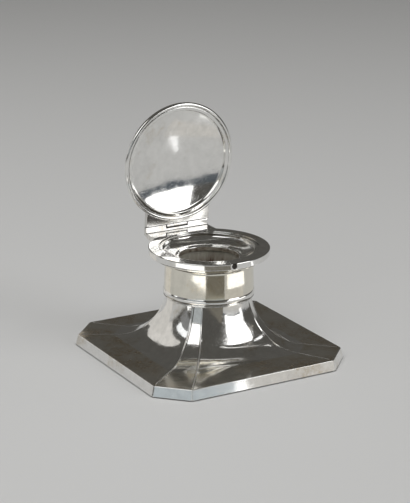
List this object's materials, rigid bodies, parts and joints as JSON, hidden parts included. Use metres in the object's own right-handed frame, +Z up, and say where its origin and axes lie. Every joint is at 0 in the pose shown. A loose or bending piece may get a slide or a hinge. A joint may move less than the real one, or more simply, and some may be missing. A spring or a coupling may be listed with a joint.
{
  "type": "capstan desk inkwell",
  "caption": "Silver capstan desk inkwell: square foot with cut corners sweeping up to a round neck, dished well with glass liner, domed hinged lid standing open.",
  "frame": {"origin": "centre of the foot on the table, on the axis of the neck", "axes": "+Z up along the neck, +Y towards the hinge, +X along the hinge pin"},
  "size_m": [0.1118, 0.1118, 0.1254],
  "materials": {
    "silver": "polished silver with fine wear scratches",
    "warm_silver": "polished silver with a light warm tarnish",
    "glass": "clear glass stained by dried ink",
    "plaster": "cast plaster loading",
    "dark_wood": "stained hardwood board",
    "baize": "dark felt"
  },
  "bodies": {
    "stand": {"baize_pad": "baize", "base_board": "dark_wood", "rim_band": "silver", "body_filling": "plaster", "body_shell": "silver", "girdle_ring": "silver", "neck_tube": "warm_silver", "rim_flange": "silver", "hinge_fixed_leaf": "silver", "hinge_pin": "silver"},
    "liner": {"well_dish": "silver", "glass_liner": "glass"},
    "lid": {"lid_dome": "silver", "lid_inner_ring": "silver", "lid_bead": "silver", "hinge_lid_leaf": "silver"}
  },
  "joints": [
    {"name": "lid_hinge", "type": "hinge", "parent": "stand", "child": "lid", "pos_m": [0, 0.0344, 0.0596], "axis": [-1, 0, 0], "range_deg": [-87, 0]},
    {"name": "liner_lift", "type": "slide", "parent": "stand", "child": "liner", "axis": [0, 0, 1], "range_m": [0, 0.003]}
  ]
}
